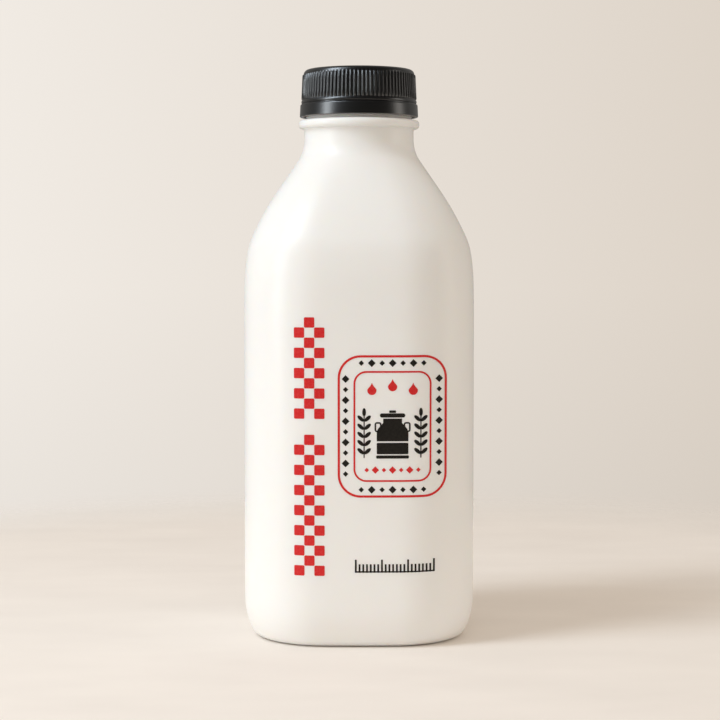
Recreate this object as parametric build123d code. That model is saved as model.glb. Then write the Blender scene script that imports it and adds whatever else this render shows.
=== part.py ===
"""A full quart milk jug: a square white plastic bottle with rounded corners, a ribbed black
screw cap and the tamper ring below it.

Millimetres, +Z up. The origin is on the floor under the middle of the bottle, and the
printed face of the bottle looks along -Y. The bottle is opaque and shut, so it is one solid
with the milk inside it.
"""

import math
import os

from build123d import *

# Bottle body, seen in plan: four gently bowed faces with large corner rounds.
BODY_WIDTH = 83.5
FACE_HALF = 14.5          # half of a face's width between its corner rounds
FACE_BOW_RADIUS = 400.0
WALL_TOP = 126.8          # where the middle of each face starts to turn in
CORNER_LEAD = 9.0         # the corners start to pull in this much lower than the faces

# Shoulder, seen from the side: three rounds, a straight cone and a hollow round to the neck.
CROWN_RADIUS = 70.0
CROWN_ANGLE = 10.0
CREASE_RADIUS = 25.0
CREASE_ANGLE = 24.0
CONE_ANGLE = 34.3         # from upright
CONE_SHARE = 0.39         # part of the long slope that is straight, the rest is a long round
THROAT_RADIUS = 13.7
THROAT_FACE_HALF = 7.25   # what is left of the face's flat middle where it meets the neck
ROUNDING_POWER = 3        # the faces bow slowly at first, then quickly into the round neck

# Heel: a long round that ends in a small one, down to the flat standing ring.
HEEL_UPPER_RADIUS = 28.0
HEEL_TURN_ANGLE = 25.0
HEEL_LOWER_RADIUS = 4.5
FOOT_FACE_HALF = 12.5
FOOT_RING_WIDTH = 4.0
PUSH_UP_DEPTH = 3.0
PUSH_UP_SLOPE = 6.0       # how far the push-up's curved wall comes in over its depth

# Neck and its support ring.
NECK_RADIUS = 20.0
NECK_LENGTH = 3.9
SUPPORT_RING_RADIUS = 22.1
SUPPORT_RING_HEIGHT = 3.1
SUPPORT_RING_ROUND = 1.2
UPPER_NECK_RADIUS = 19.3
FINISH_RADIUS = 18.9
LOCKING_BEAD_RADIUS = 20.0
LOCKING_BEAD_HEIGHT = 1.2
RIM_ROUND = 0.6

# Tamper ring.
RING_TO_BAND = 1.2        # bare neck between the support ring and the band
BAND_HEIGHT = 4.4
BAND_TOP_RADIUS = 21.46
BAND_BOTTOM_RADIUS = 21.66
BAND_ROUND = 0.5
BAND_BEAD_HEIGHT = 1.0
BAND_BEAD_LIFT = 0.3      # from the band's lower edge up to its inner bead
BAND_CLEARANCE = 0.3      # between the band and the neck or its bead
SLIT_HEIGHT = 0.5
BRIDGE_COUNT = 12
BRIDGE_WIDTH = 1.0
BRIDGE_THICKNESS = 0.4
BRIDGE_INSET = 0.15       # from the band's bore out to the bridges

# Screw cap.
CAP_HEIGHT = 12.3
CAP_TOP_THICKNESS = 1.6
CAP_BOTTOM_RADIUS = 21.1
CAP_TOP_RADIUS = 20.68    # over the ribs, where the skirt's taper meets the top
CAP_EDGE_ROUND = 1.8
CAP_FLANGE_HEIGHT = 1.2
CAP_FLANGE_SLOPE = 0.3    # height over which the flange falls back to the skirt
CAP_LIP_ROUND = 0.3
CAP_CLEARANCE = 0.5       # between the cap's bore and the bottle's finish
RIB_COUNT = 90
RIB_HEIGHT = 0.42
RIB_WIDTH = 0.84
RIB_ROUND = 0.32
RIB_ROOT = 0.5            # how deep a rib runs into the skirt
CAP_RECESS_RADIUS = 17.4
CAP_RECESS_DEPTH = 0.3
GATE_MARK_RADIUS = 1.3
GATE_MARK_DEPTH = 0.25

STATIONS = 4              # steps between level sections along each round


def rise(radius, start, end):
    """How far a round of this radius climbs while it turns from one angle to the other."""
    return radius * (math.sin(math.radians(end)) - math.sin(math.radians(start)))


def shift(radius, start, end):
    """How far the same round moves sideways."""
    return radius * (math.cos(math.radians(start)) - math.cos(math.radians(end)))


BODY_HALF = BODY_WIDTH / 2
SLOPE_WIDTH = (
    BODY_HALF
    - NECK_RADIUS
    - shift(CROWN_RADIUS, 0, CROWN_ANGLE)
    - shift(CREASE_RADIUS, CROWN_ANGLE, CREASE_ANGLE)
    - shift(THROAT_RADIUS, 0, CONE_ANGLE)
)
CONE_WIDTH = CONE_SHARE * SLOPE_WIDTH
CONE_RISE = CONE_WIDTH / math.tan(math.radians(CONE_ANGLE))
SLOPE_RADIUS = (SLOPE_WIDTH - CONE_WIDTH) / shift(1, CREASE_ANGLE, CONE_ANGLE)


def outward_round(height, half, radius, start, end):
    """(height, half width) stations up a round that turns inward from one angle to the other."""
    turns = [start + (end - start) * step / STATIONS for step in range(STATIONS + 1)]
    return [(height + rise(radius, start, turn), half - shift(radius, start, turn)) for turn in turns]


def shoulder_bands():
    """The shoulder's stretches, from the straight wall up, each a list of stations."""
    crown = outward_round(WALL_TOP, BODY_HALF, CROWN_RADIUS, 0, CROWN_ANGLE)
    crease = outward_round(*crown[-1], CREASE_RADIUS, CROWN_ANGLE, CREASE_ANGLE)
    slope = outward_round(*crease[-1], SLOPE_RADIUS, CREASE_ANGLE, CONE_ANGLE)
    height, half = slope[-1]
    cone = [
        (height + CONE_RISE * step / STATIONS, half - CONE_WIDTH * step / STATIONS)
        for step in range(STATIONS + 1)
    ]
    throat = outward_round(*cone[-1], -THROAT_RADIUS, CONE_ANGLE, 0)
    return [crown, crease, slope, cone, throat]


def heel_bands():
    """The heel's two stretches, from the standing ring up."""
    inset = shift(HEEL_UPPER_RADIUS, 0, HEEL_TURN_ANGLE) + shift(
        HEEL_LOWER_RADIUS, HEEL_TURN_ANGLE, 90
    )
    lower = outward_round(0, BODY_HALF - inset, HEEL_LOWER_RADIUS, -90, -HEEL_TURN_ANGLE)
    upper = outward_round(*lower[-1], HEEL_UPPER_RADIUS, -HEEL_TURN_ANGLE, 0)
    return [lower, upper]


SHOULDER = shoulder_bands()
HEEL = heel_bands()
HEEL_HEIGHT = HEEL[-1][-1][0]
FOOT_HALF = HEEL[0][0][1]

# Heights up the neck, each from the one below it.
NECK_BASE = SHOULDER[-1][-1][0]
SUPPORT_RING_BASE = NECK_BASE + NECK_LENGTH
SUPPORT_RING_TOP = SUPPORT_RING_BASE + SUPPORT_RING_HEIGHT
BAND_BASE = SUPPORT_RING_TOP + RING_TO_BAND
BAND_TOP = BAND_BASE + BAND_HEIGHT
CAP_BASE = BAND_TOP + SLIT_HEIGHT
CAP_TOP = CAP_BASE + CAP_HEIGHT
RIM_TOP = CAP_TOP - CAP_TOP_THICKNESS
BAND_BEAD_BASE = BAND_BASE + BAND_BEAD_LIFT
BAND_BEAD_TOP = BAND_BEAD_BASE + BAND_BEAD_HEIGHT
LOCKING_BEAD_BASE = BAND_BEAD_TOP + BAND_CLEARANCE
LOCKING_BEAD_TOP = LOCKING_BEAD_BASE + LOCKING_BEAD_HEIGHT

BAND_BORE_RADIUS = LOCKING_BEAD_RADIUS + BAND_CLEARANCE
CAP_BORE_RADIUS = FINISH_RADIUS + CAP_CLEARANCE


def plan_section(height, half, face_half, bow_radius):
    """A level section: four bowed faces joined by corner arcs that leave them smoothly.

    A bow radius equal to the half width makes it a full circle.
    """
    turn = math.asin(face_half / bow_radius)
    corner = bow_radius - (bow_radius - half) / (math.cos(turn) - math.sin(turn))
    middle = (bow_radius - corner) * math.sin(turn)
    diagonal = middle + corner * math.sqrt(0.5)
    end_out = half - bow_radius + bow_radius * math.cos(turn)
    end_side = bow_radius * math.sin(turn)
    arcs = []
    for quarter in range(4):
        face_arc = ThreePointArc((end_out, -end_side), (half, 0), (end_out, end_side))
        corner_arc = ThreePointArc((end_out, end_side), (diagonal, diagonal), (end_side, end_out))
        arcs += [arc.rotate(Axis.Z, 90 * quarter) for arc in (face_arc, corner_arc)]
    return Pos(0, 0, height) * make_face(arcs)


def body_section(height):
    """The section of the straight wall."""
    return plan_section(height, BODY_HALF, FACE_HALF, FACE_BOW_RADIUS)


def shoulder_section(height, half):
    """A section of the shoulder: the faces narrow and bow more until the neck is a circle."""
    up = (height - WALL_TOP + CORNER_LEAD) / (NECK_BASE - WALL_TOP + CORNER_LEAD)
    across = (BODY_HALF - half) / (BODY_HALF - NECK_RADIUS)
    roundness = across**ROUNDING_POWER
    face_half = FACE_HALF + (THROAT_FACE_HALF - FACE_HALF) * up
    bow = (1 - roundness) / FACE_BOW_RADIUS + roundness / NECK_RADIUS
    return plan_section(height, half, face_half, 1 / bow)


def heel_section(height, half):
    """A section of the heel: the corners tighten a little more slowly than the faces pull in."""
    share = (BODY_HALF - half) / (BODY_HALF - FOOT_HALF)
    face_half = FACE_HALF + (FOOT_FACE_HALF - FACE_HALF) * share
    return plan_section(height, half, face_half, FACE_BOW_RADIUS)


def bottle_body():
    """Heel, straight wall and shoulder, one on top of the other."""
    wall_top = WALL_TOP - CORNER_LEAD
    body = extrude(body_section(HEEL_HEIGHT), wall_top - HEEL_HEIGHT)
    for band in HEEL:
        body += loft([heel_section(*station) for station in band])
    body += loft([body_section(wall_top), shoulder_section(*SHOULDER[0][0])])
    for band in SHOULDER:
        body += loft([shoulder_section(*station) for station in band])
    return body


def push_up():
    """The hollow under the bottle that leaves only a flat ring to stand on."""
    outer = FOOT_HALF - FOOT_RING_WIDTH
    sections = []
    for step in range(-1, STATIONS + 1):
        share = step / STATIONS
        height = PUSH_UP_DEPTH * share
        half = outer - PUSH_UP_SLOPE * share * abs(share)
        sections.append(plan_section(height, half, FOOT_FACE_HALF, FACE_BOW_RADIUS))
    return loft(sections)


def turned(points):
    """A solid of revolution about Z from (radius, height) points."""
    outline = Polyline([(radius, 0, height) for radius, height in points], close=True)
    return revolve(make_face(outline), Axis.Z)


def circles(solid, height, radius):
    """The circular edges of a turned solid at this height and radius."""
    return [
        edge
        for edge in solid.edges().filter_by(GeomType.CIRCLE)
        if abs(edge.center().Z - height) < 0.01 and abs(edge.radius - radius) < 0.01
    ]


def bottle_neck():
    """The neck with its support ring, the tamper ring's locking bead and the plain finish."""
    neck = turned(
        [
            (0, NECK_BASE),
            (NECK_RADIUS, NECK_BASE),
            (NECK_RADIUS, SUPPORT_RING_BASE),
            (SUPPORT_RING_RADIUS, SUPPORT_RING_BASE),
            (SUPPORT_RING_RADIUS, SUPPORT_RING_TOP),
            (UPPER_NECK_RADIUS, SUPPORT_RING_TOP),
            (UPPER_NECK_RADIUS, LOCKING_BEAD_BASE),
            (LOCKING_BEAD_RADIUS, LOCKING_BEAD_BASE),
            (FINISH_RADIUS, LOCKING_BEAD_TOP),
            (FINISH_RADIUS, RIM_TOP),
            (0, RIM_TOP),
        ]
    )
    ring_edges = circles(neck, SUPPORT_RING_BASE, SUPPORT_RING_RADIUS)
    ring_edges += circles(neck, SUPPORT_RING_TOP, SUPPORT_RING_RADIUS)
    neck = fillet(ring_edges, SUPPORT_RING_ROUND)
    return fillet(circles(neck, RIM_TOP, FINISH_RADIUS), RIM_ROUND)


def bottle():
    return bottle_body() + bottle_neck() - push_up()


def tamper_ring():
    """The band with its inner bead, and the small bridges that hold it to the cap."""
    bead_radius = UPPER_NECK_RADIUS + BAND_CLEARANCE
    band = turned(
        [
            (BAND_BORE_RADIUS, BAND_BASE),
            (BAND_BOTTOM_RADIUS, BAND_BASE),
            (BAND_TOP_RADIUS, BAND_TOP),
            (BAND_BORE_RADIUS, BAND_TOP),
            (BAND_BORE_RADIUS, BAND_BEAD_TOP),
            (bead_radius, BAND_BEAD_TOP),
            (BAND_BORE_RADIUS, BAND_BEAD_BASE),
        ]
    )
    band = fillet(circles(band, BAND_TOP, BAND_TOP_RADIUS), BAND_ROUND)
    bridge = Pos(BAND_BORE_RADIUS + BRIDGE_INSET, 0, BAND_TOP) * Box(
        BRIDGE_THICKNESS, BRIDGE_WIDTH, SLIT_HEIGHT, align=(Align.MIN, Align.CENTER, Align.MIN)
    )
    for turn in range(BRIDGE_COUNT):
        band += Rot(0, 0, 360 * turn / BRIDGE_COUNT) * bridge
    return band


def cap_ribs():
    """Upright bars all round the skirt, leaning in with it, rounded along and at both ends."""
    low = CAP_BASE + CAP_FLANGE_HEIGHT
    length = CAP_TOP - CAP_EDGE_ROUND - low
    taper = (CAP_BOTTOM_RADIUS - CAP_TOP_RADIUS) / CAP_HEIGHT
    crest = CAP_BOTTOM_RADIUS - CAP_FLANGE_HEIGHT * taper
    bar = Box(RIB_ROOT + RIB_HEIGHT, RIB_WIDTH, length, align=(Align.MAX, Align.CENTER, Align.MIN))
    outside = bar.faces().sort_by(Axis.X)[-1]
    bar = fillet(outside.edges(), RIB_ROUND)
    rib = Pos(crest, 0, low) * Rot(0, -math.degrees(math.atan(taper)), 0) * bar
    return [Rot(0, 0, 360 * turn / RIB_COUNT) * rib for turn in range(RIB_COUNT)]


def cap():
    """The ribbed cap, hollow over the finish, whose flat inside rests on the bottle's rim."""
    flange_top = CAP_BASE + CAP_FLANGE_HEIGHT
    shell = turned(
        [
            (CAP_BORE_RADIUS, CAP_BASE),
            (CAP_BOTTOM_RADIUS, CAP_BASE),
            (CAP_BOTTOM_RADIUS, flange_top),
            (CAP_BOTTOM_RADIUS - RIB_HEIGHT, flange_top + CAP_FLANGE_SLOPE),
            (CAP_TOP_RADIUS - RIB_HEIGHT, CAP_TOP),
            (0, CAP_TOP),
            (0, RIM_TOP),
            (CAP_BORE_RADIUS, RIM_TOP),
        ]
    )
    shell = fillet(circles(shell, CAP_TOP, CAP_TOP_RADIUS - RIB_HEIGHT), CAP_EDGE_ROUND)
    shell = fillet(circles(shell, CAP_BASE, CAP_BOTTOM_RADIUS), CAP_LIP_ROUND)
    shell -= Pos(0, 0, CAP_TOP) * Cylinder(CAP_RECESS_RADIUS, 2 * CAP_RECESS_DEPTH)
    recess_floor = CAP_TOP - CAP_RECESS_DEPTH
    shell -= Pos(0, 0, recess_floor) * Cylinder(GATE_MARK_RADIUS, 2 * GATE_MARK_DEPTH)
    return shell + cap_ribs()


os.makedirs("parts", exist_ok=True)
for node, make in {"bottle": bottle, "tamper_ring": tamper_ring, "cap": cap}.items():
    export_step(make(), f"parts/{node}.step")
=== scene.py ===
"""The looks of a full quart milk jug: white bottle, black ribbed cap, tamper ring and print.

Metres, in the frame of the CAD model: +Z up, and the printed face looks along -Y.
"""

import math

import bmesh
import bpy
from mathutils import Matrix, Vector


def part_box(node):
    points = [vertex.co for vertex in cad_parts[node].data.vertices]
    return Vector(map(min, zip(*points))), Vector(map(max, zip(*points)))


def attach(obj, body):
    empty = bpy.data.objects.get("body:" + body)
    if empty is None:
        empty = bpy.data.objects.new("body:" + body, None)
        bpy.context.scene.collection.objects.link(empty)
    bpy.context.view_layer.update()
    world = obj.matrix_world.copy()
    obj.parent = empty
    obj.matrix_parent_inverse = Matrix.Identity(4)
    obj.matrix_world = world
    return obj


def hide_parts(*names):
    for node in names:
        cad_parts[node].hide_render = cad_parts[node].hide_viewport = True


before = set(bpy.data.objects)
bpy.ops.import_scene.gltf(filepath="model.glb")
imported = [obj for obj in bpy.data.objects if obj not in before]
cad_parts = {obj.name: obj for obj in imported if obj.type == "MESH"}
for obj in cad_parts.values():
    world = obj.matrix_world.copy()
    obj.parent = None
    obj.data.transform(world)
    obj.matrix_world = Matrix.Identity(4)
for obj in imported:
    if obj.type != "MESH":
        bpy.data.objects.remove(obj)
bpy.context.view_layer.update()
bottle_low, bottle_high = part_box("bottle")
cap_low, cap_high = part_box("cap")
band_low, band_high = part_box("tamper_ring")

# Bottle body and shoulder. Half widths are measured at the middle of a face.
BODY_HALF = bottle_high.x
CORNER_ROUND = 0.0274
FLAT_CUTS = 7              # upright cuts across each flat face
CORNER_STEPS = 16
WALL_ROUNDNESS = 0.10      # 0 is a flat-sided square, 1 is a circle
SHOULDER_ROUNDNESS = 0.16
WALL_TOP = 0.1268
CORNER_LEAD = 0.009
CROWN = (0.070, 0, 10)     # radius, and the angles from upright at its two ends
CREASE = (0.025, 10, 24)
CONE_ANGLE = 34.3
CONE_SHARE = 0.39
THROAT_RADIUS = 0.0137
NECK_RADIUS = 0.0200
HEEL_UPPER = (0.028, 0, 25)
HEEL_LOWER = (0.0045, 25, 90)
FOOT_RING_WIDTH = 0.004
PUSH_UP_DEPTH = 0.003

# Neck, with the support ring that sits below the band.
SUPPORT_RING_HEIGHT = 0.0031
SUPPORT_RING_RADIUS = 0.0221
SUPPORT_RING_ROUND = 0.0012
NECK_LENGTH = 0.0039
UPPER_NECK_RADIUS = 0.0193
FINISH_RADIUS = 0.0189

# Cap and band.
RIB_COUNT = 90
COLUMNS_PER_RIB = 10
RIB_HALF_WIDTH = 0.00045
RIB_HEIGHT = 0.00042
CAP_EDGE_ROUND = 0.0018
CAP_FLANGE = 0.0012
CAP_TOP_THICKNESS = 0.0016
CAP_BORE = 0.0194
CAP_BOTTOM_RADIUS = cap_high.x
CAP_TAPER = 0.00042
RIB_FOOT_GAP = 0.0002      # from the flange up to the ribs
RIB_LEVELS = (0.03, 0.35, 0.68, 0.97)   # where the ribs are cut, as shares of their height
RECESS_RADIUS = 0.0176     # of the shallow hollow in the cap's top
RECESS_DEPTH = 0.0003
GATE_RADIUS = 0.0014       # of the mark that the mould's gate leaves in the middle
BAND_BORE = 0.0203
BAND_TAPER = 0.0002
BAND_HEIGHT = 0.0046
BAND_ROUND = 0.0005
BAND_COLUMNS = 240
WEB_THICKNESS = 0.0004
BRIDGE_COUNT = 12
BRIDGE_SIZE = (0.0004, 0.0010, 0.0006)

# Print, on the front face.
INK_STEP = 0.001           # the print is cut this finely so that it follows the corner round
INK_LIFT = 0.00003
INK_DEPTH = 0.00005
PRINT_PLANE = bottle_low.y - 0.005
CHECK_SQUARE = 0.00353
CHECK_OVERLAP = 1.02       # the squares are a little larger, so that their corners meet
CHECK_ROWS = (14, 10)      # of the lower and the upper length
CHECK_COLUMNS = 3
CHECK_GAP = 0.0056
CHECK_MIDDLE = -0.0173
CHECK_BASE = 0.0261
BADGE_MIDDLE = (0.0117, 0.07845)
BADGE_SIZE = (0.0382, 0.0497)
BADGE_BORDER = 0.0055
BADGE_CORNERS = (0.008, 0.0045)         # of the outer and the inner outline
BADGE_LINES = (0.00078, 0.00062)
CHURN_WIDTH = 0.0110
SPRIG_HEIGHT = 0.0150
SPRIG_PAIRS = 5
LEAF_SIZE = (0.0013, 0.0029)
LEAF_TURN = 48
DROP_WIDTH = 0.0032
TICK_COUNT = 22
TICK_ROW = (0.0126, 0.0295, 0.0274)     # middle, height and length

# Moulded surface.
GLOSS_DRIFT = 0.03         # how far the roughness drifts either way
SEAM_HALF_WIDTH = 0.00035  # of the line that the mould's halves leave

# Studio: world strength from below to above, and as glossy surfaces see it from front to back.
FILL_RANGE = (0.34, 0.72)
MIRRORED_RANGE = (0.02, 0.20)
# Backdrop colour with painted light: lit paler on the left, where the key falls on the wall, and shaded
# darker on the right.
WALL_LIT_LEFT = (0.880, 0.830, 0.772)
WALL_SHADED_RIGHT = (0.728, 0.657, 0.580)
FLOOR_RADIUS = 0.46
FLOOR_FADE = (0.25, 0.42)
LAMP_TARGET = (0, 0, 0.11)
CAMERA_PLACE = (0.00037, -0.700, 0.1396)
CAMERA_TILT = 3.3
CAMERA_LENS = 95


# ---------------------------------------------------------------- modelling helpers

def start(name, primitive, spread=(1, 1, 1), **settings):
    """Adds a primitive, with nothing else selected, opens it for editing and spreads it."""
    bpy.ops.object.select_all(action="DESELECT")
    primitive(**settings)
    piece = bpy.context.object
    piece.name = name
    piece.data.name = name
    bpy.ops.object.transform_apply(location=True, rotation=True, scale=True)
    bpy.ops.object.mode_set(mode="EDIT")
    bpy.ops.mesh.select_all(action="SELECT")
    bpy.ops.transform.resize(value=spread)
    return piece


def pick(piece, kind, test):
    """Selects only the vertices, edges or faces that pass the test."""
    bpy.ops.mesh.select_mode(type=kind)
    bpy.ops.mesh.select_all(action="DESELECT")
    mesh = bmesh.from_edit_mesh(piece.data)
    for element in {"VERT": mesh.verts, "EDGE": mesh.edges, "FACE": mesh.faces}[kind]:
        element.select_set(test(element))
    bmesh.update_edit_mesh(piece.data)


def draw_ring(lift, grow=1.0, rounding=0.0):
    """Draws the selected ring of edges up, then widens it and rounds it towards a circle."""
    bpy.ops.mesh.extrude_edges_move(TRANSFORM_OT_translate={"value": (0, 0, lift)})
    bpy.ops.transform.resize(value=(grow, grow, 1))
    if rounding:
        bpy.ops.transform.tosphere(value=rounding)


def close_up(piece):
    """Merges doubles, turns every face outwards and leaves edit mode."""
    bpy.ops.mesh.select_all(action="SELECT")
    bpy.ops.mesh.remove_doubles(threshold=1e-7)
    bpy.ops.mesh.normals_make_consistent(inside=False)
    bpy.ops.object.mode_set(mode="OBJECT")


def modify(piece, kind, **settings):
    """Adds a modifier and applies it."""
    modifier = piece.modifiers.new(kind.title(), kind)
    for name, value in settings.items():
        setattr(modifier, name, value)
    bpy.ops.object.select_all(action="DESELECT")
    piece.select_set(True)
    bpy.context.view_layer.objects.active = piece
    bpy.ops.object.modifier_apply(modifier=modifier.name)


def smooth(piece, angle=35):
    """Shades a piece smooth, apart from edges sharper than the angle."""
    bpy.ops.object.select_all(action="DESELECT")
    piece.select_set(True)
    bpy.context.view_layer.objects.active = piece
    bpy.ops.object.shade_smooth_by_angle(angle=math.radians(angle))


def join(pieces, name):
    """Joins pieces into the first of them and renames it."""
    bpy.ops.object.select_all(action="DESELECT")
    for piece in pieces:
        piece.select_set(True)
    bpy.context.view_layer.objects.active = pieces[0]
    bpy.ops.object.join()
    pieces[0].name = name
    pieces[0].data.name = name
    return pieces[0]


def arc(radius, start_angle, end_angle, steps):
    """(rise, shift inwards) of points along a round, its angles measured from upright."""
    first = math.radians(start_angle)
    points = []
    for step in range(1, steps + 1):
        turn = math.radians(start_angle + (end_angle - start_angle) * step / steps)
        points.append(
            (radius * (math.sin(turn) - math.sin(first)), radius * (math.cos(first) - math.cos(turn)))
        )
    return points


# ---------------------------------------------------------------- materials

def node_group(name, inputs, outputs):
    """An empty shader group with named sockets, and its input and output nodes."""
    group = bpy.data.node_groups.new(name, "ShaderNodeTree")
    for socket, kind in inputs.items():
        group.interface.new_socket(name=socket, in_out="INPUT", socket_type=kind)
    for socket, kind in outputs.items():
        group.interface.new_socket(name=socket, in_out="OUTPUT", socket_type=kind)
    return group, group.nodes.new("NodeGroupInput"), group.nodes.new("NodeGroupOutput")


def math_node(tree, operation, first, second):
    """A sum on two values, each a number or another node's output."""
    node = tree.nodes.new("ShaderNodeMath")
    node.operation = operation
    for socket, value in zip(node.inputs, (first, second)):
        if isinstance(value, (int, float)):
            socket.default_value = value
        else:
            tree.links.new(value, socket)
    return node.outputs["Value"]


def ramp(tree, value, given, wanted, kind="LINEAR"):
    """Maps a value from one range to another, held at both ends."""
    node = tree.nodes.new("ShaderNodeMapRange")
    node.interpolation_type = kind
    node.inputs["From Min"].default_value, node.inputs["From Max"].default_value = given
    node.inputs["To Min"].default_value, node.inputs["To Max"].default_value = wanted
    tree.links.new(value, node.inputs["Value"])
    return node.outputs["Result"]


def moulded_surface_group():
    """Height of moulded plastic: slow waves from cooling, and a fine grain from the mould."""
    number, vector = "NodeSocketFloat", "NodeSocketVector"
    group, given, made = node_group(
        "moulded_surface",
        {"Position": vector, "Wave Scale": number, "Wave Depth": number, "Grain Scale": number,
         "Grain Depth": number},
        {"Height": number, "Mottle": number},
    )
    depths = []
    for kind in ("Wave", "Grain"):
        noise = group.nodes.new("ShaderNodeTexNoise")
        noise.inputs["Detail"].default_value = 2.0
        group.links.new(given.outputs["Position"], noise.inputs["Vector"])
        group.links.new(given.outputs[kind + " Scale"], noise.inputs["Scale"])
        depths.append(math_node(group, "MULTIPLY", noise.outputs["Fac"], given.outputs[kind + " Depth"]))
    group.links.new(math_node(group, "ADD", *depths), made.inputs["Height"])
    mottle = group.nodes.new("ShaderNodeTexNoise")
    mottle.inputs["Scale"].default_value = 42.0
    group.links.new(given.outputs["Position"], mottle.inputs["Vector"])
    group.links.new(mottle.outputs["Fac"], made.inputs["Mottle"])
    return group


MOULDED = moulded_surface_group()


def new_material(name):
    """A material, with its node tree, its shader and its place on the object."""
    material = bpy.data.materials.new(name)
    material.use_nodes = True
    tree = material.node_tree
    place = tree.nodes.new("ShaderNodeTexCoord").outputs["Object"]
    return material, tree, tree.nodes["Principled BSDF"], place


def moulded_surface(tree, place, waves, grain):
    """Adds the moulded surface, given the (scale, depth) of its waves and of its grain."""
    surface = tree.nodes.new("ShaderNodeGroup")
    surface.node_tree = MOULDED
    for kind, (scale, depth) in (("Wave", waves), ("Grain", grain)):
        surface.inputs[kind + " Scale"].default_value = scale
        surface.inputs[kind + " Depth"].default_value = depth
    tree.links.new(place, surface.inputs["Position"])
    return surface


def two_tone(tree, shader, factor, first, second):
    """Colours a shader between two tones."""
    tint = tree.nodes.new("ShaderNodeMix")
    tint.data_type = "RGBA"
    tint.inputs["A"].default_value = (*first, 1)
    tint.inputs["B"].default_value = (*second, 1)
    tree.links.new(factor, tint.inputs["Factor"])
    tree.links.new(tint.outputs["Result"], shader.inputs["Base Color"])


def raise_surface(tree, shader, height):
    """Bumps a shader by a height in metres."""
    bump = tree.nodes.new("ShaderNodeBump")
    bump.inputs["Strength"].default_value = 1.0
    bump.inputs["Distance"].default_value = 1.0
    tree.links.new(height, bump.inputs["Height"])
    tree.links.new(bump.outputs["Normal"], shader.inputs["Normal"])


def moulded_plastic(name, light, dark, roughness, waves, grain, seam_depth=0.0):
    """A plastic whose colour and gloss drift a little, with waves and grain in its surface."""
    material, tree, shader, place = new_material(name)
    surface = moulded_surface(tree, place, waves, grain)
    two_tone(tree, shader, surface.outputs["Mottle"], dark, light)
    gloss = ramp(
        tree, surface.outputs["Mottle"], (0, 1), (roughness - GLOSS_DRIFT, roughness + GLOSS_DRIFT)
    )
    tree.links.new(gloss, shader.inputs["Roughness"])
    height = surface.outputs["Height"]
    if seam_depth:
        split = tree.nodes.new("ShaderNodeSeparateXYZ")
        tree.links.new(place, split.inputs["Vector"])
        off_seam = math_node(tree, "ABSOLUTE", split.outputs["Y"], 0.0)
        seam = ramp(tree, off_seam, (0, SEAM_HALF_WIDTH), (seam_depth, 0), "SMOOTHSTEP")
        height = math_node(tree, "ADD", height, seam)
    raise_surface(tree, shader, height)
    return material


def bottle_plastic():
    """White, faintly see-through plastic, with the mould line down its sides."""
    material = moulded_plastic(
        "milky_plastic", light=(0.924, 0.918, 0.898), dark=(0.906, 0.899, 0.877), roughness=0.32,
        waves=(26.0, 0.00022), grain=(2600.0, 0.000003), seam_depth=0.00003,
    )
    shader = material.node_tree.nodes["Principled BSDF"]
    shader.inputs["Specular IOR Level"].default_value = 0.35
    shader.inputs["Subsurface Weight"].default_value = 0.25
    shader.inputs["Subsurface Radius"].default_value = (0.0040, 0.0030, 0.0022)
    shader.inputs["Subsurface Scale"].default_value = 1.0
    return material


def cap_plastic():
    """Black satin plastic under a soft coat."""
    material = moulded_plastic(
        "black_cap_plastic", light=(0.0045, 0.0045, 0.0045), dark=(0.0025, 0.0025, 0.0025),
        roughness=0.315, waves=(180.0, 0.000003), grain=(5200.0, 0.000001),
    )
    shader = material.node_tree.nodes["Principled BSDF"]
    shader.inputs["Specular IOR Level"].default_value = 1.0
    shader.inputs["Coat Weight"].default_value = 1.0
    shader.inputs["Coat Roughness"].default_value = 0.30
    return material


def ink(name, colour, worn):
    """Printed ink: almost flat colour with thin spots where the plastic shows through."""
    material, tree, shader, place = new_material(name)
    speckle = tree.nodes.new("ShaderNodeTexNoise")
    speckle.inputs["Scale"].default_value = 1400.0
    tree.links.new(place, speckle.inputs["Vector"])
    thin = ramp(tree, speckle.outputs["Fac"], (0.35, 0.75), (0, 1))
    two_tone(tree, shader, thin, colour, worn)
    shader.inputs["Roughness"].default_value = 0.45
    shader.inputs["Specular IOR Level"].default_value = 0.3
    surface = moulded_surface(tree, place, waves=(900.0, 0.000002), grain=(5000.0, 0.000001))
    raise_surface(tree, shader, surface.outputs["Height"])
    return material


# ---------------------------------------------------------------- bottle

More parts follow.
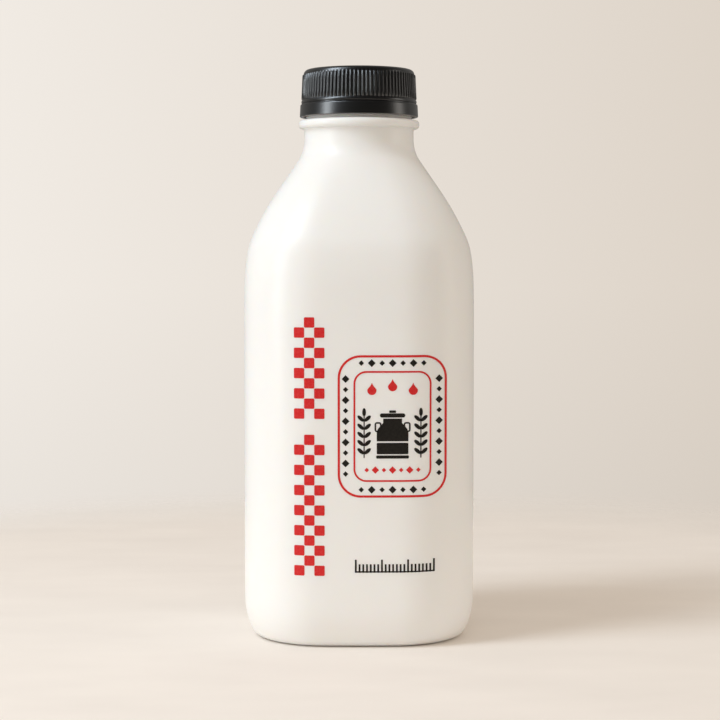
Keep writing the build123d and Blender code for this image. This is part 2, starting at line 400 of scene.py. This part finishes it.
def bottle_stations():
    """(height, half width, roundness) from the first ring above the foot to the neck."""
    heel = arc(*HEEL_UPPER, 5)
    lower = arc(*HEEL_LOWER, 5)
    heel += [(heel[-1][0] + up, heel[-1][1] + inward) for up, inward in lower]
    heel_height = heel[-1][0]
    stations = [
        (heel_height - drop, BODY_HALF - inset, WALL_ROUNDNESS) for drop, inset in reversed(heel)
    ]
    wall_steps = 12
    wall_end = WALL_TOP - CORNER_LEAD
    for step in range(wall_steps + 1):
        height = heel_height + (wall_end - heel_height) * step / wall_steps
        stations.append((height, BODY_HALF, WALL_ROUNDNESS))
    for share in (1 / 3, 2 / 3, 1):
        roundness = WALL_ROUNDNESS + (SHOULDER_ROUNDNESS - WALL_ROUNDNESS) * share**2
        stations.append((wall_end + CORNER_LEAD * share, BODY_HALF, roundness))
    bands = [arc(*CROWN, 5), arc(*CREASE, 5)]
    throat = arc(-THROAT_RADIUS, CONE_ANGLE, 0, 6)
    slope_width = BODY_HALF - NECK_RADIUS - bands[0][-1][1] - bands[1][-1][1] - throat[-1][1]
    unit = arc(1, CREASE[2], CONE_ANGLE, 1)[0][1]
    bands.append(arc((1 - CONE_SHARE) * slope_width / unit, CREASE[2], CONE_ANGLE, 5))
    cone_width = CONE_SHARE * slope_width
    cone_rise = cone_width / math.tan(math.radians(CONE_ANGLE))
    bands.append([(cone_rise * step / 3, cone_width * step / 3) for step in (1, 2, 3)])
    bands.append(throat)
    height, half = WALL_TOP, BODY_HALF
    for band in bands:
        for up, inward in band:
            across = (BODY_HALF - half + inward) / (BODY_HALF - NECK_RADIUS)
            roundness = SHOULDER_ROUNDNESS + (1 - SHOULDER_ROUNDNESS) * min(across, 1) ** 3
            stations.append((height + up, half - inward, roundness))
        height, half = stations[-1][:2]
    return stations


def neck_stations(neck_base):
    """(height, radius) up the round neck, its support ring and the finish under the cap."""
    ring_base = neck_base + NECK_LENGTH
    ring_top = ring_base + SUPPORT_RING_HEIGHT
    fillet = SUPPORT_RING_ROUND
    points = [(neck_base + NECK_LENGTH * 0.5, NECK_RADIUS), (ring_base - 0.0003, NECK_RADIUS)]
    points += [(ring_base, NECK_RADIUS + 0.0003), (ring_base, SUPPORT_RING_RADIUS - fillet)]
    for step in range(1, 5):
        turn = math.pi / 2 * step / 4
        reach = SUPPORT_RING_RADIUS - fillet + fillet * math.sin(turn)
        points.append((ring_base + fillet - fillet * math.cos(turn), reach))
    for step in range(5):
        turn = math.pi / 2 * step / 4
        reach = SUPPORT_RING_RADIUS - fillet + fillet * math.cos(turn)
        points.append((ring_top - fillet + fillet * math.sin(turn), reach))
    points += [(ring_top, UPPER_NECK_RADIUS + 0.0004), (ring_top + 0.0004, UPPER_NECK_RADIUS)]
    points += [(band_low.z + 0.0002, UPPER_NECK_RADIUS), (band_high.z, FINISH_RADIUS)]
    rim = bottle_high.z
    points += [(rim - 0.0006, FINISH_RADIUS), (rim - 0.0002, FINISH_RADIUS - 0.0002)]
    points += [(rim, FINISH_RADIUS - 0.0006), (rim, FINISH_RADIUS - 0.004)]
    return points


def make_bottle():
    """The bottle: a rounded square drawn up ring by ring to the rim, then hollowed below."""
    bottle = start("milk_bottle", bpy.ops.mesh.primitive_plane_add, size=2 * BODY_HALF)
    bpy.ops.mesh.bevel(offset=CORNER_ROUND, segments=CORNER_STEPS, affect="VERTICES", profile=0.5)
    flat_length = 2 * (BODY_HALF - CORNER_ROUND)
    pick(bottle, "EDGE", lambda edge: edge.calc_length() > 0.9 * flat_length)
    bpy.ops.mesh.subdivide(number_cuts=FLAT_CUTS)
    mesh = bmesh.from_edit_mesh(bottle.data)
    reach = sum(v.co.length for v in mesh.verts) / len(mesh.verts) / BODY_HALF

    def face_middle(roundness):
        """How far a face's middle lies out, as a share of the plain square's, at a roundness."""
        return 1 - roundness + roundness * reach

    stations = bottle_stations()
    foot_height, foot_half, roundness = stations[0]
    bpy.ops.mesh.select_all(action="SELECT")
    bpy.ops.transform.tosphere(value=roundness)
    size = foot_half / BODY_HALF / face_middle(roundness)
    bpy.ops.transform.resize(value=(size, size, 1))
    pick(bottle, "EDGE", lambda edge: True)
    height, half = foot_height, foot_half
    for next_height, next_half, next_roundness in stations[1:]:
        if next_height - height < 1e-6:
            continue
        rounding = (next_roundness - roundness) / (1 - roundness) if roundness < 0.9999 else 0
        grow = next_half / half * face_middle(roundness) / face_middle(next_roundness)
        draw_ring(next_height - height, grow, rounding)
        height, half, roundness = next_height, next_half, next_roundness
    for next_height, next_half in neck_stations(height):
        draw_ring(next_height - height, next_half / half)
        height, half = next_height, next_half
    bpy.ops.mesh.edge_face_add()
    hollow_foot(bottle, foot_half)
    close_up(bottle)
    modify(bottle, "SUBSURF", levels=1, render_levels=1)
    smooth(bottle, 50)
    return bottle


def hollow_foot(bottle, foot_half):
    """Insets the flat foot to its standing ring and pushes the middle up in rounded steps."""
    pick(bottle, "FACE", lambda face: len(face.verts) > 4 and face.calc_center_median().z < 0.001)
    bpy.ops.mesh.inset(thickness=0.0004)
    bpy.ops.mesh.inset(thickness=FOOT_RING_WIDTH - 0.0004)
    half = foot_half - FOOT_RING_WIDTH
    for lift, inset in ((0.08, 0.0006), (0.32, 0.0016), (0.35, 0.0018), (0.2, 0.0018), (0.05, 0.0016)):
        grow = (half - inset) / half
        bpy.ops.mesh.extrude_region_move(
            TRANSFORM_OT_translate={"value": (0, 0, PUSH_UP_DEPTH * lift)}
        )
        bpy.ops.transform.resize(value=(grow, grow, 1))
        half -= inset
    bpy.ops.mesh.inset(thickness=0.004)


def make_foot_seam():
    """The pinched ridge that the mould leaves across the hollow under the bottle."""
    seam = start(
        "foot_seam", bpy.ops.mesh.primitive_cube_add, size=1, scale=(0.0009, 0.038, 0.0007),
        location=(0, 0, PUSH_UP_DEPTH - 0.0001),
    )
    bpy.ops.mesh.bevel(offset=0.0002, segments=3)
    close_up(seam)
    smooth(seam)
    return seam


# ---------------------------------------------------------------- cap and band

def turned_shell(name, stations, columns, closed_loop):
    """A turned piece drawn ring by ring from (height, radius) stations."""
    height, radius = stations[0]
    shell = start(
        name, bpy.ops.mesh.primitive_circle_add, vertices=columns, radius=radius,
        fill_type="NOTHING" if closed_loop else "NGON", location=(0, 0, height),
    )
    pick(shell, "EDGE", lambda edge: True)
    for next_height, next_radius in stations[1:]:
        draw_ring(next_height - height, next_radius / radius)
        height, radius = next_height, next_radius
    if not closed_loop:
        bpy.ops.mesh.edge_face_add()
    return shell


def cap_stations():
    """(height, radius) from the ceiling inside, down the bore, round the lip and over the top."""
    base, top = cap_low.z, cap_high.z
    ceiling = top - CAP_TOP_THICKNESS
    lip = CAP_BOTTOM_RADIUS
    skirt_low = lip - RIB_HEIGHT
    skirt_high = skirt_low - CAP_TAPER
    rib_low = base + CAP_FLANGE + RIB_FOOT_GAP
    rib_high = top - CAP_EDGE_ROUND
    points = [(ceiling, CAP_BORE - 0.0004), (ceiling - 0.0004, CAP_BORE), (base, CAP_BORE)]
    points += [(base, lip - 0.0003), (base + 0.0001, lip - 0.0001), (base + 0.0003, lip)]
    points += [(rib_low - 0.0007, lip), (rib_low - 0.0004, lip - 0.00008)]
    points += [(rib_low - 0.00018, lip - 0.00022), (rib_low, skirt_low)]
    for share in RIB_LEVELS:
        points.append((rib_low + (rib_high - rib_low) * share, skirt_low - CAP_TAPER * share))
    points.append((rib_high, skirt_high))
    for step in range(1, 8):
        turn = math.pi / 2 * step / 7
        inward = CAP_EDGE_ROUND * (1 - math.cos(turn))
        points.append((rib_high + CAP_EDGE_ROUND * math.sin(turn), skirt_high - inward))
    recess = top - RECESS_DEPTH
    points += [(top, RECESS_RADIUS), (top - 0.0001, RECESS_RADIUS - 0.0002)]
    points += [(recess, radius) for radius in (RECESS_RADIUS - 0.0004, 0.0130, 0.0080, 0.0040)]
    points += [(recess, GATE_RADIUS + 0.0002), (recess - 0.0001, GATE_RADIUS)]
    points += [(recess - 0.0002, GATE_RADIUS - 0.0004)]
    return points, rib_low, rib_high


def make_cap():
    """The cap: a turned shell whose skirt is swelled into round ribs, one column at a time."""
    stations, rib_low, rib_high = cap_stations()
    columns = RIB_COUNT * COLUMNS_PER_RIB
    cap = turned_shell("ribbed_cap", stations, columns, closed_loop=False)
    skirt = CAP_BOTTOM_RADIUS - RIB_HEIGHT
    column_width = 2 * math.pi * skirt / columns
    for column in range(COLUMNS_PER_RIB):
        off_centre = abs(column - COLUMNS_PER_RIB / 2) * column_width
        swell = 1 - (off_centre / RIB_HALF_WIDTH) ** 2
        if swell <= 0:
            continue

        def on_rib(vertex, wanted=column):
            outside = math.hypot(vertex.co.x, vertex.co.y) > CAP_BORE + 0.0005
            between = rib_low + 1e-5 < vertex.co.z < rib_high - 1e-5
            turn = math.atan2(vertex.co.y, vertex.co.x) / (2 * math.pi) * columns
            return outside and between and round(turn) % COLUMNS_PER_RIB == wanted

        pick(cap, "VERT", on_rib)
        grow = 1 + RIB_HEIGHT * math.sqrt(swell) / skirt
        bpy.ops.transform.resize(value=(grow, grow, 1))
    close_up(cap)
    smooth(cap, 62)
    return cap


def make_band():
    """The tamper ring with its inner bead, held to the cap by a thin web and small bridges."""
    base, top = band_low.z, band_low.z + BAND_HEIGHT
    outer = band_high.x
    points = [(base, BAND_BORE), (base, outer - 0.0002), (base + 0.0002, outer)]
    points += [(top - BAND_ROUND, outer - BAND_TAPER)]
    for step in range(1, 6):
        turn = math.pi / 2 * step / 5
        reach = outer - BAND_TAPER - BAND_ROUND * (1 - math.cos(turn))
        points.append((top - BAND_ROUND + BAND_ROUND * math.sin(turn), reach))
    web_top = cap_low.z - 0.00001
    web_outer = BAND_BORE + WEB_THICKNESS
    points += [(top, web_outer), (web_top, web_outer), (web_top, BAND_BORE)]
    points += [(base + 0.0014, BAND_BORE), (base + 0.0013, BAND_BORE - 0.0007)]
    points += [(base + 0.0003, BAND_BORE), (base, BAND_BORE)]
    band = turned_shell("tamper_band", points, BAND_COLUMNS, closed_loop=True)
    close_up(band)
    bridges = []
    for turn in range(BRIDGE_COUNT):
        angle = math.radians(360 / BRIDGE_COUNT * turn)
        reach = BAND_BORE + 0.00035
        bridge = start(
            "bridge", bpy.ops.mesh.primitive_cube_add, size=1, scale=BRIDGE_SIZE,
            location=(reach * math.cos(angle), reach * math.sin(angle), (top + cap_low.z) / 2),
            rotation=(0, 0, angle),
        )
        bpy.ops.mesh.bevel(offset=0.00006, segments=2)
        close_up(bridge)
        bridges.append(bridge)
    band = join([band, *bridges], "tamper_band")
    smooth(band)
    return band


# ---------------------------------------------------------------- print

def flat_shape(name, across, up, width, height, corner, corner_steps=6):
    """A rounded rectangle facing the front, open for editing."""
    shape = start(
        name, bpy.ops.mesh.primitive_plane_add, (width, 1, height), size=1,
        location=(across, PRINT_PLANE, up), rotation=(math.pi / 2, 0, 0),
    )
    bpy.ops.mesh.bevel(offset=corner, segments=corner_steps, affect="VERTICES")
    bpy.ops.mesh.select_all(action="SELECT")
    return shape


def frame_shape(name, across, up, width, height, corner, line):
    """A rounded rectangular outline."""
    shape = flat_shape(name, across, up, width, height, corner, 12)
    bpy.ops.mesh.select_mode(type="FACE")
    bpy.ops.mesh.inset(thickness=line)
    bpy.ops.mesh.delete(type="FACE")
    bpy.ops.object.mode_set(mode="OBJECT")
    return shape


def solid_shape(*size):
    """A filled rounded rectangle."""
    shape = flat_shape(*size)
    bpy.ops.object.mode_set(mode="OBJECT")
    return shape


def lozenge(name, across, up, width, height):
    """A diamond: a disc of four corners."""
    shape = start(
        name, bpy.ops.mesh.primitive_circle_add, (width, 1, height), vertices=4, radius=0.5,
        fill_type="NGON", location=(across, PRINT_PLANE, up), rotation=(math.pi / 2, 0, 0),
    )
    bpy.ops.object.mode_set(mode="OBJECT")
    return shape


def drop(name, across, up, width):
    """A milk drop: a disc whose top is drawn up to a point."""
    shape = start(
        name, bpy.ops.mesh.primitive_circle_add, vertices=32, radius=width / 2, fill_type="NGON",
        location=(across, PRINT_PLANE, up), rotation=(math.pi / 2, 0, 0),
    )
    top = width / 2
    for level, lift, narrow in ((0.35, 0.25, 0.80), (0.65, 0.30, 0.62), (0.9, 0.45, 0.40)):
        pick(shape, "VERT", lambda v, z=up + top * level: v.co.z > z)
        bpy.ops.transform.resize(value=(narrow, 1, 1))
        bpy.ops.transform.translate(value=(0, 0, top * lift * 0.6))
    bpy.ops.object.mode_set(mode="OBJECT")
    return shape


def churn(across, up, width):
    """The pieces of a milk churn: foot, can with its hoop, sloping shoulder, neck, lid and ears."""
    foot = solid_shape("foot", across, up + 0.05 * width, 1.04 * width, 0.10 * width, 0.04 * width)
    can = solid_shape("can", across, up + 0.32 * width, width, 0.36 * width, 0.03 * width)
    body = start(
        "shoulder", bpy.ops.mesh.primitive_plane_add, (width, 1, 0.30 * width), size=1,
        location=(across, PRINT_PLANE, up + 0.70 * width), rotation=(math.pi / 2, 0, 0),
    )
    top = up + 0.85 * width
    pick(body, "EDGE", lambda edge: all(v.co.z > top - 1e-5 for v in edge.verts))
    for lift, grow in ((0.09, 0.93), (0.11, 0.80), (0.08, 0.80), (0.14, 1.0)):
        bpy.ops.mesh.extrude_edges_move(TRANSFORM_OT_translate={"value": (0, 0, width * lift)})
        bpy.ops.transform.resize(value=(grow, 1, 1))
    bpy.ops.object.mode_set(mode="OBJECT")
    lid = solid_shape("lid", across, up + 1.37 * width, 0.80 * width, 0.13 * width, 0.06 * width)
    knob = solid_shape("knob", across, up + 1.49 * width, 0.22 * width, 0.08 * width, 0.03 * width)
    ears = [
        frame_shape(
            "ear", across + side * 0.46 * width, up + 1.00 * width, 0.22 * width, 0.32 * width,
            0.08 * width, 0.05 * width,
        )
        for side in (-1, 1)
    ]
    return [foot, can, body, lid, knob, *ears]


def leaf(across, up, turn):
    """A small leaf: an upright ellipse, turned clockwise."""
    shape = start(
        "leaf", bpy.ops.mesh.primitive_circle_add, (LEAF_SIZE[0], 1, LEAF_SIZE[1]), vertices=24,
        radius=0.5, fill_type="NGON", location=(across, PRINT_PLANE, up), rotation=(math.pi / 2, 0, 0),
    )
    bpy.ops.transform.rotate(
        value=-math.radians(turn), orient_axis="Y", center_override=(across, PRINT_PLANE, up)
    )
    bpy.ops.object.mode_set(mode="OBJECT")
    return shape


def sprig(across, up, height):
    """The pieces of an upright sprig: a thin stem, paired leaves and one at the tip."""
    pieces = [solid_shape("stem", across, up + height / 2, 0.0004, height, 0.00015, 2)]
    for pair in range(SPRIG_PAIRS):
        level = up + height * (0.16 + 0.76 * pair / (SPRIG_PAIRS - 1))
        for side in (-1, 1):
            pieces.append(leaf(across + side * 0.0012, level, side * LEAF_TURN))
    pieces.append(leaf(across, up + height + 0.0010, 0))
    return pieces


def lay_on(shapes, name, bottle, material):
    """Joins flat shapes, cuts them finely, lays them on the bottle and gives them a thickness."""
    print_piece = join(shapes, name)
    bpy.ops.object.mode_set(mode="EDIT")
    bpy.ops.mesh.select_all(action="SELECT")
    bpy.ops.mesh.normals_make_consistent(inside=False)
    low = min(v.co.x for v in bmesh.from_edit_mesh(print_piece.data).verts)
    high = max(v.co.x for v in bmesh.from_edit_mesh(print_piece.data).verts)
    for step in range(1, int((high - low) / INK_STEP) + 1):
        bpy.ops.mesh.select_all(action="SELECT")
        bpy.ops.mesh.bisect(plane_co=(low + step * INK_STEP, 0, 0), plane_no=(1, 0, 0))
    bpy.ops.object.mode_set(mode="OBJECT")
    modify(
        print_piece, "SHRINKWRAP", target=bottle, wrap_method="PROJECT", use_project_y=True,
        use_negative_direction=False, use_positive_direction=True, wrap_mode="ABOVE_SURFACE",
        offset=INK_LIFT,
    )
    modify(print_piece, "SOLIDIFY", thickness=INK_DEPTH, offset=0)
    bpy.ops.object.mode_set(mode="EDIT")
    close_up(print_piece)
    smooth(print_piece)
    print_piece.data.materials.append(material)


def check_column(bottle, material):
    """A column of red and white checks in two lengths, three squares wide."""
    size = CHECK_SQUARE * CHECK_OVERLAP
    base = CHECK_BASE
    shapes = []
    for rows in CHECK_ROWS:
        for row in range(rows):
            for column in range(CHECK_COLUMNS):
                if (row + column) % 2 == 0:
                    across = CHECK_MIDDLE + (column - 1) * CHECK_SQUARE
                    up = base + (row + 0.5) * CHECK_SQUARE
                    shapes.append(solid_shape("check", across, up, size, size, 0.0004, 3))
        base += rows * CHECK_SQUARE + CHECK_GAP
    lay_on(shapes, "red_checks", bottle, material)


def emblem(bottle, red, black):
    """A framed badge: two outlines with a border of diamonds, and a churn, sprigs and drops."""
    across, up = BADGE_MIDDLE
    width, height = BADGE_SIZE
    red_shapes = []
    for inset, corner, line in zip((0, 2 * BADGE_BORDER), BADGE_CORNERS, BADGE_LINES):
        red_shapes.append(
            frame_shape("outline", across, up, width - inset, height - inset, corner, line)
        )
    for sideways, level in ((-0.0072, 0.0126), (0, 0.0139), (0.0072, 0.0126)):
        red_shapes.append(drop("drop", across + sideways, up + level, DROP_WIDTH))
    for step in range(-3, 4):
        size = 0.0026 if step % 2 == 0 else 0.0016
        red_shapes.append(lozenge("diamond", across + step * 0.0030, up - 0.0152, size, size))
    lay_on(red_shapes, "badge_outlines", bottle, red)
    black_shapes = churn(across, up - 0.0112, CHURN_WIDTH)
    for side in (-1, 1):
        black_shapes += sprig(across + side * 0.0099, up - 0.0110, SPRIG_HEIGHT)
    side, rise = (width - BADGE_BORDER) / 2, (height - BADGE_BORDER) / 2
    for half, level, count, sideways in ((side, rise, 9, True), (rise, side, 12, False)):
        for index in range(count):
            offset = -half + 2 * half * (index + 0.5) / count
            if abs(offset) > half - 0.0032:
                continue
            size = 0.0027 if index % 2 == 0 else 0.0019
            for end in (-1, 1):
                shift = (offset, end * level) if sideways else (end * level, offset)
                place = (across + shift[0], up + shift[1])
                black_shapes.append(lozenge("diamond", *place, size, size))
    lay_on(black_shapes, "badge_motifs", bottle, black)


def tick_row(bottle, material):
    """A small black row of measuring ticks, long and short in turn, on a thin line."""
    across, up, length = TICK_ROW
    shapes = [solid_shape("line", across, up - 0.0020, length, 0.0005, 0.0001, 2)]
    for index in range(TICK_COUNT):
        tall = 0.0046 if index % 7 == 0 else 0.0030
        place = across - length / 2 + length * index / (TICK_COUNT - 1)
        shapes.append(solid_shape("tick", place, up - 0.0023 + tall / 2, 0.00065, tall, 0.0001, 2))
    lay_on(shapes, "tick_row", bottle, material)


# ---------------------------------------------------------------- stage, lights, camera

def make_floor():
    """A round plaster floor that fades out towards its rim and is see-through from below."""
    floor = start(
        "floor", bpy.ops.mesh.primitive_circle_add, vertices=128, radius=FLOOR_RADIUS,
        fill_type="NGON",
    )
    bpy.ops.object.mode_set(mode="OBJECT")
    material, tree, shader, place = new_material("plaster_floor")
    stretch = tree.nodes.new("ShaderNodeMapping")
    stretch.inputs["Scale"].default_value = (0.45, 1.0, 1.0)
    tree.links.new(place, stretch.inputs["Vector"])
    cloud = tree.nodes.new("ShaderNodeTexNoise")
    cloud.inputs["Scale"].default_value = 34.0
    cloud.inputs["Detail"].default_value = 6.0
    tree.links.new(stretch.outputs["Vector"], cloud.inputs["Vector"])
    two_tone(tree, shader, cloud.outputs["Fac"], (0.845, 0.787, 0.733), (0.950, 0.892, 0.832))
    shader.inputs["Roughness"].default_value = 0.75
    shader.inputs["Specular IOR Level"].default_value = 0.2
    distance = tree.nodes.new("ShaderNodeVectorMath")
    distance.operation = "LENGTH"
    tree.links.new(place, distance.inputs["Vector"])
    fade = ramp(tree, distance.outputs["Value"], FLOOR_FADE, (1, 0), "SMOOTHSTEP")
    side = tree.nodes.new("ShaderNodeNewGeometry")
    seen_from_above = math_node(tree, "SUBTRACT", 1.0, side.outputs["Backfacing"])
    tree.links.new(math_node(tree, "MULTIPLY", seen_from_above, fade), shader.inputs["Alpha"])
    floor.data.materials.append(material)


def make_world():
    """Warm even fill for the object, and for the view a pale wall with painted light: paler to the left,
    where the key falls on it, darker to the right, and a little darker towards the bottom.
    """
    world = bpy.data.worlds.new("studio")
    bpy.context.scene.world = world
    world.use_nodes = True
    tree = world.node_tree
    place = tree.nodes.new("ShaderNodeTexCoord")
    split = tree.nodes.new("ShaderNodeSeparateXYZ")
    tree.links.new(place.outputs["Generated"], split.inputs["Vector"])
    across, depth, rise = split.outputs
    fill = tree.nodes["Background"]
    fill.inputs["Color"].default_value = (1.0, 0.90, 0.79, 1)
    tree.links.new(ramp(tree, rise, (-1, 1), FILL_RANGE), fill.inputs["Strength"])
    mirrored = tree.nodes.new("ShaderNodeBackground")
    mirrored.inputs["Color"].default_value = (1.0, 0.96, 0.91, 1)
    tree.links.new(ramp(tree, depth, (-0.2, 0.6), MIRRORED_RANGE), mirrored.inputs["Strength"])
    wall = tree.nodes.new("ShaderNodeBackground")
    # Painted light on the backdrop: paler to the left where the key falls on the wall, darker to the
    # right.
    painted_wall_light = tree.nodes.new("ShaderNodeMix")
    painted_wall_light.data_type = "RGBA"
    painted_wall_light.inputs["A"].default_value = (*WALL_LIT_LEFT, 1)
    painted_wall_light.inputs["B"].default_value = (*WALL_SHADED_RIGHT, 1)
    tree.links.new(ramp(tree, across, (-0.19, 0.19), (0, 1)), painted_wall_light.inputs["Factor"])
    tree.links.new(painted_wall_light.outputs["Result"], wall.inputs["Color"])
    # The backdrop also grows a little darker towards the bottom.
    tree.links.new(ramp(tree, rise, (-0.14, -0.02), (0.93, 1.0)), wall.inputs["Strength"])
    path = tree.nodes.new("ShaderNodeLightPath")
    shown = fill
    for ray, other in (("Is Glossy Ray", mirrored), ("Is Camera Ray", wall)):
        choose = tree.nodes.new("ShaderNodeMixShader")
        tree.links.new(path.outputs[ray], choose.inputs["Fac"])
        tree.links.new(shown.outputs[0], choose.inputs[1])
        tree.links.new(other.outputs[0], choose.inputs[2])
        shown = choose
    tree.links.new(shown.outputs[0], tree.nodes["World Output"].inputs["Surface"])


def softbox(name, azimuth, elevation, distance, width, height, power, colour):
    """A soft lamp aimed at the jug. Azimuth 0 is in front, and positive to the right."""
    lamp = bpy.data.lights.new(name, "AREA")
    lamp.shape = "RECTANGLE"
    lamp.size, lamp.size_y = width, height
    lamp.energy = power
    lamp.color = colour
    holder = bpy.data.objects.new(name, lamp)
    bpy.context.scene.collection.objects.link(holder)
    turn, tilt = math.radians(azimuth), math.radians(elevation)
    way = Vector((math.sin(turn) * math.cos(tilt), -math.cos(turn) * math.cos(tilt), math.sin(tilt)))
    holder.location = Vector(LAMP_TARGET) + way * distance
    holder.rotation_euler = way.to_track_quat("Z", "Y").to_euler()


def make_camera():
    """A long lens in front of the jug, tilted down a little."""
    lens = bpy.data.cameras.new("camera")
    lens.lens = CAMERA_LENS
    lens.sensor_width = 36
    camera = bpy.data.objects.new("camera", lens)
    bpy.context.scene.collection.objects.link(camera)
    camera.location = CAMERA_PLACE
    camera.rotation_euler = (math.radians(90 - CAMERA_TILT), 0, 0)
    bpy.context.scene.camera = camera


# ---------------------------------------------------------------- the jug

bpy.context.scene.view_settings.view_transform = "Standard"
make_camera()
make_world()
softbox("key", -62, 46, 1.2, 0.42, 0.60, 6.3, (0.80, 0.90, 1.0))
softbox("window", -65, 11, 1.0, 0.26, 0.58, 2.6, (0.90, 0.96, 1.0))
softbox("side", 84, 12, 0.9, 0.28, 0.56, 0.75, (1.0, 0.95, 0.88))
make_floor()

white_plastic = bottle_plastic()
black_plastic = cap_plastic()
red_ink = ink("red_ink", (0.66, 0.014, 0.016), (0.70, 0.034, 0.034))
black_ink = ink("black_ink", (0.010, 0.008, 0.006), (0.018, 0.015, 0.011))

bottle = make_bottle()
bottle.data.materials.append(white_plastic)
seam = make_foot_seam()
seam.data.materials.append(white_plastic)
cap = make_cap()
cap.data.materials.append(black_plastic)
band = make_band()
band.data.materials.append(black_plastic)
check_column(bottle, red_ink)
emblem(bottle, red_ink, black_ink)
tick_row(bottle, black_ink)

SLOTS = {
    "milk_bottle": "bottle_plastic",
    "foot_seam": "bottle_plastic",
    "ribbed_cap": "cap_plastic",
    "tamper_band": "cap_plastic",
    "red_checks": "red_ink",
    "badge_outlines": "red_ink",
    "badge_motifs": "black_ink",
    "tick_row": "black_ink",
}
for name, slot in SLOTS.items():
    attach(bpy.data.objects[name], "root")
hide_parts("bottle")
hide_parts("cap")
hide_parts("tamper_ring")
